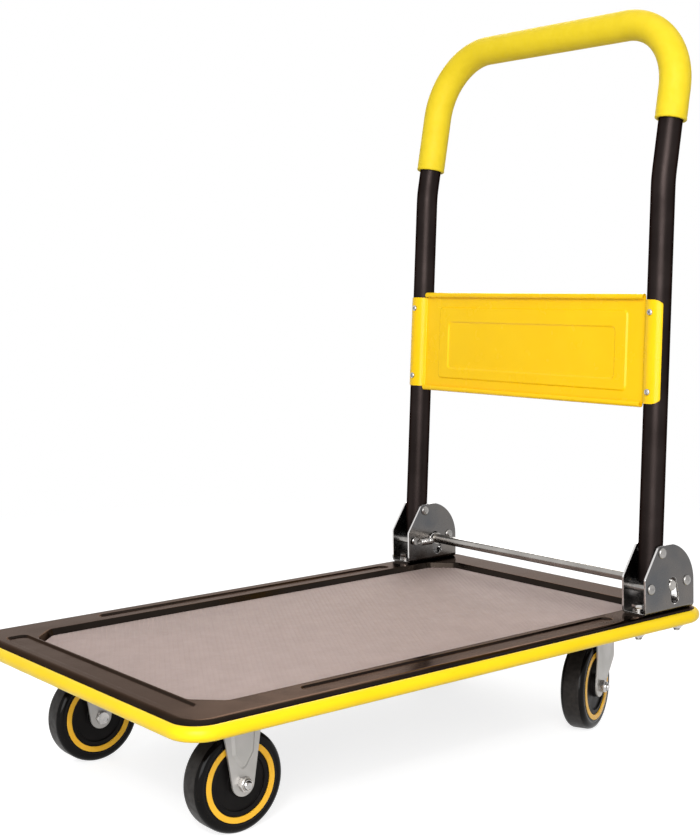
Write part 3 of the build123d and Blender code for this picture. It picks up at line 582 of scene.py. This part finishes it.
def soften(name, width, angle=30.0, segments=2, highlight_finish=None):
    """Rounds a CAD node's edges, in a finish of their own where the plating is cut, lighter as bare steel
    and as a painted highlight.
    """
    node = nodes[name]
    weld(name)
    merge = node.modifiers.new("merge", "DECIMATE")
    merge.decimate_type = "DISSOLVE"
    merge.angle_limit = math.radians(FLAT_ANGLE)
    bevel = node.modifiers.new("bevel", "BEVEL")
    bevel.width = width * MM
    bevel.segments = segments
    bevel.limit_method = "ANGLE"
    bevel.angle_limit = math.radians(angle)
    bevel.harden_normals = True
    if highlight_finish:
        node.data.materials.append(paints[highlight_finish])
        bevel.material = 1
    normals = node.modifiers.new("normals", "WEIGHTED_NORMAL")
    normals.keep_sharp = True


def soften_nodes():
    for name in nodes:
        if name.endswith(SMOOTH_NODES):
            weld(name)
        for endings, edges in SOFT_EDGES.items():
            if name.endswith(endings):
                soften(name, **edges)


# Mesh building
def piece(name, part, paint_names, node, rides=True, angle=SHARP_ANGLE):
    """New piece from points and faces in millimetres, in place of a CAD node and riding on its body."""
    points, faces, finishes = part
    mesh = bpy.data.meshes.new(name)
    mesh.from_pydata([tuple(c * MM for c in point) for point in points], [], faces)
    for paint_name in paint_names:
        mesh.materials.append(paints[paint_name])
    for polygon, finish in zip(mesh.polygons, finishes):
        polygon.material_index = finish
        polygon.use_smooth = True
    shape = bmesh.new()
    shape.from_mesh(mesh)
    bmesh.ops.recalc_face_normals(shape, faces=shape.faces)
    for edge in shape.edges:
        if len(edge.link_faces) == 2 and edge.calc_face_angle() > math.radians(angle):
            edge.smooth = False
    shape.to_mesh(mesh)
    shape.free()
    item = bpy.data.objects.new(name, mesh)
    bpy.context.scene.collection.objects.link(item)
    if rides:
        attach(item, body_of[node])
    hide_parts(node)
    return item


def join(parts):
    """Several sets of points and faces as one."""
    points, faces, finishes = [], [], []
    for part_points, part_faces, part_finishes in parts:
        start = len(points)
        points += part_points
        faces += [tuple(start + i for i in face) for face in part_faces]
        finishes += part_finishes
    return points, faces, finishes


def placed(part, matrix):
    points, faces, finishes = part
    return [tuple(matrix @ Vector(point)) for point in points], faces, finishes


def circle(radius, z, count=SEGMENTS):
    """Ring of points about Z; the radius and height may each depend on the angle."""
    ring = []
    for i in range(count):
        angle = 2 * math.pi * i / count
        r = radius(angle) if callable(radius) else radius
        h = z(angle) if callable(z) else z
        ring.append((r * math.cos(angle), r * math.sin(angle), h))
    return ring


def skin(rings, closed=False, capped=False, finishes=None):
    """Faces between rings of points, with the ends joined, capped or left open."""
    count = len(rings[0])
    final = len(rings) - 1
    points = [point for ring in rings for point in ring]
    faces, used = [], []
    pairs = list(zip(range(final), range(1, final + 1)))
    if closed:
        pairs.append((final, 0))
    for band, (a, b) in enumerate(pairs):
        for i in range(count):
            j = (i + 1) % count
            faces.append((a * count + i, a * count + j, b * count + j, b * count + i))
            used.append(finishes[band] if finishes else 0)
    if capped:
        for ring in (0, final):
            middle = sum((Vector(point) for point in rings[ring]), Vector()) / count
            points.append(tuple(middle))
            for i in range(count):
                faces.append((ring * count + i, ring * count + (i + 1) % count, len(points) - 1))
                used.append(0)
    return points, faces, used


def pipe(path, radius):
    """Round wire along points, closed at both ends."""
    path = [Vector(point) for point in path]
    final = len(path) - 1
    ways = [(path[min(i + 1, final)] - path[max(i - 1, 0)]).normalized() for i in range(len(path))]
    turns = [2 * math.pi * k / WIRE_SIDES for k in range(WIRE_SIDES)]
    across = ways[0].orthogonal().normalized()
    rings = []
    for point, way in zip(path, ways):
        across = (across - way * across.dot(way)).normalized()
        other = way.cross(across)
        rings.append([tuple(point + (across * math.cos(t) + other * math.sin(t)) * radius) for t in turns])
    return skin(rings, capped=True)


def upright_to(axis, place):
    """Matrix that takes Z to an axis through a place, in millimetres."""
    turn = Vector((0, 0, 1)).rotation_difference(Vector(axis)).to_matrix().to_4x4()
    return Matrix.Translation(Vector(place)) @ turn


def box_mm(name):
    """Lowest and highest corner of a CAD node."""
    low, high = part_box(name)
    return Vector(low) / MM, Vector(high) / MM


def centre_of(name):
    """Middle of a CAD node's box along X, Y and Z."""
    return [(low + high) / 2 for low, high in zip(*box_mm(name))]


# Bolts, nuts and screws
def hex_radius(flats):
    """Distance of a hexagon's edge from its middle, by angle."""
    step = math.pi / 3
    return lambda angle: flats / 2 / math.cos(angle % step - step / 2)


def hex_chamfer(flats):
    """How far a hexagon's chamfer falls below its face, by angle."""
    radius = hex_radius(flats)
    slope = math.tan(math.radians(HEX_CHAMFER))
    return lambda angle: max(0.0, radius(angle) - HEX_CIRCLE * flats / 2) * slope


def thread(radius, pitch, low, high):
    """Rings of a helical thread from one level down to another."""
    steps = max(2, round((high - low) / pitch * THREAD_STEPS))
    rings = []
    for k in range(steps + 1):
        z = high - (high - low) * k / steps

        def edge(angle, z=z):
            share = (z / pitch - angle / (2 * math.pi)) % 1.0
            return radius - THREAD_DEPTH * pitch * (1 - abs(2 * share - 1))
        rings.append(circle(edge, z))
    return rings


def bolt(flats, head, radius, pitch, length, threaded):
    """Hex bolt, its head above Z 0 and its shank below, ending in a thread."""
    hexagon = hex_radius(flats)
    chamfer = hex_chamfer(flats)
    top = HEX_CIRCLE * flats / 2
    start = -length + threaded
    rings = [circle(share * top, head - depth) for share, depth in HEAD_DISH]
    rings += [circle(hexagon, lambda angle: head - chamfer(angle)), circle(hexagon, HEAD_FOOT)]
    rings += [circle(lambda angle: hexagon(angle) * HEAD_FOOT_SHARE, 0.0)]
    rings += [circle(radius, 0.0), circle(radius, start)]
    rings += thread(radius, pitch, -length + THREAD_LEAD, start - THREAD_RUNOUT)
    rings += [circle(radius - TIP_DEPTH * pitch, -length)]
    return skin(rings, capped=True)


def lock_nut(flats, radius, height, collar):
    """Lock nut standing on Z 0, its collar above; the insert inside takes the second finish."""
    hexagon = hex_radius(flats)
    chamfer = hex_chamfer(flats)
    bore = radius + NUT_PLAY
    wide = COLLAR_SHARE * flats
    body = height - collar
    rings = [circle(bore, 0.0), circle(LOCK_NUT_SEAT * flats / 2, 0.0), circle(hexagon, chamfer)]
    rings += [circle(hexagon, lambda angle: body - chamfer(angle)), circle(HEX_CIRCLE * flats / 2, body)]
    rings += [circle(wide + out, body + up) for out, up in COLLAR_FOOT]
    rings += [circle(wide + out, height - down) for out, down in COLLAR_RIM]
    rings += [circle(bore, height - INSERT_DEPTH)]
    finishes = [0] * len(rings)
    finishes[-2] = 1
    return skin(rings, closed=True, finishes=finishes)


def plain_nut(flats, radius, height):
    """Hex nut standing on Z 0."""
    hexagon = hex_radius(flats)
    chamfer = hex_chamfer(flats)
    face = HEX_CIRCLE * flats / 2
    bore = radius + NUT_PLAY
    mouth = bore + NUT_LEAD
    rings = [circle(mouth, 0.0), circle(face, 0.0), circle(hexagon, chamfer)]
    rings += [circle(hexagon, lambda angle: height - chamfer(angle)), circle(face, height)]
    rings += [circle(mouth, height), circle(bore, height - NUT_LEAD), circle(bore, NUT_LEAD)]
    return skin(rings, closed=True)


def cross_radius(reach, half):
    """Edge of a cross-shaped recess with arms of a reach and half width, by angle."""
    quarter = math.pi / 2

    def radius(angle):
        folded = abs((angle + quarter / 2) % quarter - quarter / 2)
        if math.tan(folded) <= half / reach:
            return reach / math.cos(folded)
        return half / math.sin(folded)
    return radius


def screw_head():
    """Pan head on Z 0 with a cross recess."""
    r, h = SCREW_HEAD_RADIUS, SCREW_HEAD
    rings = [circle(share * r, rise * h, FINE_SEGMENTS) for share, rise in PAN_HEAD]
    rings += [circle(cross_radius(*RECESS_TOP), h, FINE_SEGMENTS)]
    rings += [circle(cross_radius(*RECESS_FLOOR), h - RECESS_DEPTH, FINE_SEGMENTS)]
    return skin(rings, capped=True)


# Mat with its studs
def mat_outline(half_x, half_y, inset):
    """Outline of the mat about its middle, drawn in by an inset: a rectangle with cut, rounded corners."""
    x = half_x - inset
    y = half_y - inset
    cut = MAT_CUT - inset * (2 - math.sqrt(2))
    reach = (MAT_CORNER - inset) * math.tan(math.radians(MAT_CORNER_TURN / 2))
    corners = [Vector(corner) for corner in (
        (x, -y + cut), (x, y - cut), (x - cut, y), (-x + cut, y),
        (-x, y - cut), (-x, -y + cut), (-x + cut, -y), (x - cut, -y))]
    outline = []
    for i, here in enumerate(corners):
        before = corners[i - 1]
        after = corners[(i + 1) % len(corners)]
        start = here + (before - here).normalized() * reach
        end = here + (after - here).normalized() * reach
        for k in range(MAT_CORNER_STEPS + 1):
            t = k / MAT_CORNER_STEPS
            outline.append(start.lerp(here, t).lerp(here.lerp(end, t), t))
    return outline


def mat_stud():
    """Low rounded stud on Z 0, its foot sunk in the mat."""
    sides = STUD_SIDES
    points = circle(STUD_RADIUS, -STUD_SUNK, sides)
    points += circle(STUD_SHOULDER[0] * STUD_RADIUS, STUD_SHOULDER[1] * STUD_HEIGHT, sides)
    points += [(0, 0, STUD_HEIGHT)]
    faces = [(i, (i + 1) % sides, sides + (i + 1) % sides, sides + i) for i in range(sides)]
    faces += [(sides + i, sides + (i + 1) % sides, 2 * sides) for i in range(sides)]
    faces += [tuple(reversed(range(sides)))]
    return points, faces, [0] * len(faces)


def make_mat():
    low, high = box_mm("deck_mat")
    middle = (low + high) / 2
    half_x = (high.x - low.x) / 2
    half_y = (high.y - low.y) / 2
    base = high.z - STUD_HEIGHT

    def level(inset, z):
        return [(middle.x + spot.x, middle.y + spot.y, z) for spot in mat_outline(half_x, half_y, inset)]

    rings = [level(0.0, low.z)] + [level(inset, base - below) for inset, below in MAT_EDGE]
    parts = [skin(rings, capped=True)]
    stud = mat_stud()
    row = STUD_PITCH * math.sqrt(3) / 2
    rows = int(half_y / row)
    columns = int(half_x / STUD_PITCH) + 1
    limit = half_x + half_y - MAT_CUT - STUD_MARGIN * math.sqrt(2)
    for j in range(-rows, rows + 1):
        shift = STUD_PITCH / 2 if j % 2 else 0.0
        y = j * row
        for i in range(-columns, columns + 1):
            x = i * STUD_PITCH + shift
            within_sides = abs(x) < half_x - STUD_MARGIN and abs(y) < half_y - STUD_MARGIN
            if within_sides and abs(x) + abs(y) < limit:
                parts.append(placed(stud, Matrix.Translation((middle.x + x, middle.y + y, base))))
    piece("mat_with_studs", join(parts), ["grey_mat"], "deck_mat", angle=MAT_SHARP)


# Foam grip on the handle's tube
def grip_path():
    """Points and directions along the grip, and the direction that is square to all of them."""
    lean = math.radians(GRIP_LEAN)
    upward = Vector((math.sin(lean), 0, math.cos(lean)))
    across = Vector((0, 1, 0))
    top = Vector((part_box("handle_grip")[1][0] / MM - GRIP_RADIUS, 0, HANDLE_TOP))
    left_leg, right_leg = [drop / math.cos(lean) for drop in GRIP_DROPS]
    turn = GRIP_CORNER
    reach = 2 * (TUBE_Y - turn)

    def spot(y, below):
        return top + Vector((0, y, 0)) - upward * below

    path = []
    for k in range(GRIP_LEFT_STEPS):
        below = left_leg + (turn - left_leg) * k / GRIP_LEFT_STEPS
        path.append((spot(-TUBE_Y, below), upward))
    for k in range(GRIP_BEND_STEPS + 1):
        angle = math.pi / 2 * k / GRIP_BEND_STEPS
        place = spot(-TUBE_Y + turn * (1 - math.cos(angle)), turn * (1 - math.sin(angle)))
        path.append((place, upward * math.cos(angle) + across * math.sin(angle)))
    for k in range(1, GRIP_TOP_STEPS):
        path.append((spot(-TUBE_Y + turn + reach * k / GRIP_TOP_STEPS, 0), across))
    for k in range(GRIP_BEND_STEPS + 1):
        angle = math.pi / 2 * k / GRIP_BEND_STEPS
        place = spot(TUBE_Y - turn * (1 - math.sin(angle)), turn * (1 - math.cos(angle)))
        path.append((place, across * math.cos(angle) - upward * math.sin(angle)))
    for k in range(1, GRIP_RIGHT_STEPS + 1):
        below = turn + (right_leg - turn) * k / GRIP_RIGHT_STEPS
        path.append((spot(TUBE_Y, below), -upward))
    return path, across.cross(upward).normalized()


def make_grip():
    path, facing = grip_path()

    def ring(centre, way, radius, swelling):
        other = way.cross(facing)
        points = []
        for k in range(SEGMENTS):
            t = 2 * math.pi * k / SEGMENTS
            out = facing * math.cos(t) + other * math.sin(t)
            place = centre + out * radius
            swell = sum(height * noise.noise(place * rate) for height, rate in GRIP_SWELLS)
            points.append(tuple(centre + out * (radius + swelling * swell)))
        return points

    first, first_way = path[0]
    last, last_way = path[-1]
    profile = [(along, GRIP_BORE + step) for along, step in GRIP_LIP]
    profile += [(along, GRIP_RADIUS + step) for along, step in GRIP_ROLL]
    between = path[GRIP_END_POINTS:-GRIP_END_POINTS]
    rings = [ring(first + first_way * along, first_way, radius, GRIP_END_SWELL) for along, radius in profile]
    rings += [ring(centre, way, GRIP_RADIUS - GRIP_SHRINK, 1.0) for centre, way in between]
    rings += [ring(last - last_way * along, last_way, radius, GRIP_END_SWELL)
              for along, radius in reversed(profile)]
    rings += [ring(centre, way, GRIP_BORE, 0.0) for centre, way in reversed(path[1:-1])]
    grip = piece("foam_grip", skin(rings, closed=True), ["yellow_foam"], "handle_grip")


# Release bar and its springs
def make_bar():
    """Round bar with chamfered ends."""
    low, high = box_mm("release_bar")
    half = (high.y - low.y) / 2
    inner = half - BAR_CHAMFER
    tip = BAR_RADIUS - BAR_CHAMFER
    profile = ((tip, -half), (BAR_RADIUS, -inner), (BAR_RADIUS, inner), (tip, half))
    rings = [circle(radius, along, FINE_SEGMENTS) for radius, along in profile]
    bar = placed(skin(rings, capped=True), upright_to((0, 1, 0), centre_of("release_bar")))
    piece("round_release_bar", bar, ["bar_zinc"], "release_bar")


def make_springs():
    """Springs from the stop rivets to the bar: a hook and its bend, the coil, a rise and a hook."""
    stop_x, _, stop_z = centre_of("stop_rivets")
    bar_x, _, bar_z = centre_of("release_bar")
    coil_y = centre_of("right_release_spring")[1]
    front = RIVET_RADIUS + HOOK_GAP + WIRE / 2
    rear = BAR_RADIUS + HOOK_GAP + WIRE / 2
    axis_z = stop_z - front + HOOK_BEND
    first = stop_x + COIL_START
    last = first + COIL_TURNS * COIL_PITCH
    rise = bar_z + rear - axis_z
    plane = coil_y + COIL_RADIUS
    path = []
    for k in range(HOOK_STEPS + 1):
        t = math.pi / 2 + math.pi * k / HOOK_STEPS
        path.append((stop_x + front * math.cos(t), plane, stop_z + front * math.sin(t)))
    for k in range(HOOK_BEND_STEPS):
        t = math.pi / 2 * k / HOOK_BEND_STEPS
        path.append((first - HOOK_BEND + HOOK_BEND * math.sin(t), plane, axis_z - HOOK_BEND * math.cos(t)))
    for k in range(COIL_TURNS * COIL_STEPS + 1):
        t = 2 * math.pi * k / COIL_STEPS
        x = first + COIL_PITCH * k / COIL_STEPS
        path.append((x, coil_y + COIL_RADIUS * math.cos(t), axis_z + COIL_RADIUS * math.sin(t)))
    for k in range(1, RISE_STEPS + 1):
        t = math.pi / 2 * k / RISE_STEPS
        path.append((last + rise * (1 - math.cos(t)), plane, axis_z + rise * math.sin(t)))
    for k in range(HOOK_STEPS + 1):
        t = math.pi / 2 - math.pi * k / HOOK_STEPS
        path.append((bar_x + rear * math.cos(t), plane, bar_z + rear * math.sin(t)))
    for name, side in SIDES:
        wire = pipe([(x, side * y, z) for x, y, z in path], WIRE / 2)
        spring = piece(f"{name}_coil_spring", wire, ["bright_steel"], f"{name}_release_spring", rides=False)
        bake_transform(spring)


# Fasteners in their places
def make_bracket_fasteners():
    """Bolts down through the brackets' feet, and their lock nuts under the deck."""
    low, high = box_mm("bracket_bolts")
    _, nut_high = box_mm("bracket_nuts")
    seat = high.z - M8_HEAD
    reach = M8_FLATS / math.sqrt(3)
    places = [(x, y) for x in (low.x + reach, high.x - reach) for y in (-TUBE_Y, TUBE_Y)]
    first, step = BRACKET_TURNS
    turns = [Matrix.Rotation(math.radians(first + step * k), 4, "Z") for k in range(len(places))]
    shape = bolt(M8_FLATS, M8_HEAD, M8_RADIUS, M8_PITCH, seat - low.z, M8_THREAD)
    nut = placed(lock_nut(M8_FLATS, M8_RADIUS, LOCK_NUT, LOCK_NUT_COLLAR), UPSIDE_DOWN)
    bolts, nuts = [], []
    for (x, y), bolt_turn, nut_turn in zip(places, turns, reversed(turns)):
        bolts.append(placed(shape, Matrix.Translation((x, y, seat)) @ bolt_turn))
        nuts.append(placed(nut, Matrix.Translation((x, y, nut_high.z)) @ nut_turn))
    piece("bracket_hex_bolts", join(bolts), ["fastener_zinc"], "bracket_bolts")
    piece("bracket_lock_nuts", join(nuts), ["fastener_zinc", "black_plastic"], "bracket_nuts")


def make_axle_fasteners():
    """Axle bolts with their heads towards the trolley's middle and their lock nuts outside."""
    length = 2 * AXLE_LEG + LOCK_NUT + AXLE_TIP
    shape = bolt(M8_FLATS, M8_HEAD, M8_RADIUS, M8_PITCH, length, M8_THREAD)
    nut = lock_nut(M8_FLATS, M8_RADIUS, LOCK_NUT, LOCK_NUT_COLLAR)
    for end in ENDS:
        for name, side in SIDES:
            wheel = f"{end}_{name}"
            joint = joints[f"{wheel}_spin"]
            outward = Vector(joint["axis"]) * side
            centre = Vector(joint["pos_m"]) / MM
            head = placed(shape, upright_to(-outward, centre - outward * AXLE_LEG))
            lock = placed(nut, upright_to(outward, centre + outward * AXLE_LEG))
            piece(f"{wheel}_axle_hex_bolt", head, ["fastener_zinc"], f"{wheel}_axle_bolt")
            piece(f"{wheel}_axle_lock_nut", lock, ["fastener_zinc", "black_plastic"], f"{wheel}_axle_nut")


def make_caster_fasteners():
    """Bolts from below through the caster plates, and their nuts inside the cross channels."""
    low, high = box_mm("caster_bolts")
    nut_low, _ = box_mm("caster_nuts")
    seat = low.z + M6_HEAD
    shape = placed(bolt(M6_FLATS, M6_HEAD, M6_RADIUS, M6_PITCH, high.z - seat, M6_THREAD), UPSIDE_DOWN)
    nut = plain_nut(M6_FLATS, M6_RADIUS, M6_NUT)
    bolts, nuts = [], []
    for name, first in PLATE_TURNS.items():
        centre = Vector(joints[name]["pos_m"]) / MM
        for k, (i, j) in enumerate(PLATE_CORNERS):
            x = centre.x + i * PLATE_BOLTS[0]
            y = centre.y + j * PLATE_BOLTS[1]
            turn = Matrix.Rotation(math.radians(first + PLATE_TURN_STEP * k), 4, "Z")
            bolts.append(placed(shape, Matrix.Translation((x, y, seat)) @ turn))
            nuts.append(placed(nut, Matrix.Translation((x, y, nut_low.z)) @ turn))
    piece("caster_hex_bolts", join(bolts), ["fastener_zinc"], "caster_bolts")
    piece("caster_hex_nuts", join(nuts), ["fastener_zinc"], "caster_nuts")


def make_panel_screws():
    """Cross-recess screws at the panel's four corners, square to the handle's tubes."""
    fold = Vector(joints["handle_fold"]["pos_m"]) / MM
    lean = math.radians(TUBE_LEAN)
    upward = Vector((math.sin(lean), 0, math.cos(lean)))
    ahead = Vector((-math.cos(lean), 0, math.sin(lean)))
    first, step = SCREW_TURNS
    corners = [(side, height) for _, side in SIDES for height in SCREW_HEIGHTS]
    head = screw_head()
    heads = []
    for k, (side, height) in enumerate(corners):
        place = fold + Vector((0, side * TUBE_Y, 0)) + ahead * SCREW_SEAT + upward * height
        turn = Matrix.Rotation(math.radians(first + step * k), 4, "Z")
        heads.append(placed(head, upright_to(ahead, place) @ turn))
    piece("panel_cross_screws", join(heads), ["fastener_zinc"], "panel_screws")


# Tyres
def tyre_section():
    """Closed section of a tyre as radius and offset along the axle, with a moulded line round each face."""
    half, outer = WHEEL_HALF, WHEEL_RADIUS
    seat = half - RING_DEPTH
    side = [(TYRE_BORE, seat), (RING_OUTER, seat)]
    side += [(RING_OUTER, half - TYRE_LIP), (RING_OUTER + TYRE_LIP, half)]
    side += [(RING_OUTER + out, half - depth) for out, depth in MOULD_LINE]
    for k in range(SHOULDER_STEPS + 1):
        t = math.pi / 2 * k / SHOULDER_STEPS
        side.append((outer - SHOULDER + SHOULDER * math.sin(t), half - SHOULDER + SHOULDER * math.cos(t)))
    side += [(outer, share * (half - SHOULDER)) for share in TREAD_SHARES]
    return side + [(r, -y) for r, y in reversed(side[:-1])]


def make_tyres():
    """Tyres whose tread, on a few bands to each side of the middle, has a finish of its own."""
    section = tyre_section()
    rings = [circle(radius, offset, FINE_SEGMENTS) for radius, offset in section]
    edge = len(section) // 2 - TREAD_BANDS
    finishes = [1 if edge <= k < edge + 2 * TREAD_BANDS else 0 for k in range(len(section))]
    tyre = skin(rings, closed=True, finishes=finishes)
    for end in ENDS:
        for name, _ in SIDES:
            wheel = f"{end}_{name}"
            joint = joints[f"{wheel}_spin"]
            part = placed(tyre, upright_to(joint["axis"], Vector(joint["pos_m"]) / MM))
            finish_names = ["tyre_rubber", "tread_rubber"]
            piece(f"{wheel}_tyre", part, finish_names, f"{wheel}_wheel_tyre", angle=TYRE_SHARP)


bpy.context.scene.view_settings.view_transform = "Standard"
make_camera()
make_world()
make_floor()
for lamp in LAMPS:
    make_lamp(*lamp)

make_enamels()
make_rubbers()
make_plastics()
make_steels()
paint_nodes()
soften_nodes()

make_mat()
make_grip()
make_bar()
make_springs()
make_bracket_fasteners()
make_axle_fasteners()
make_caster_fasteners()
make_panel_screws()
make_tyres()
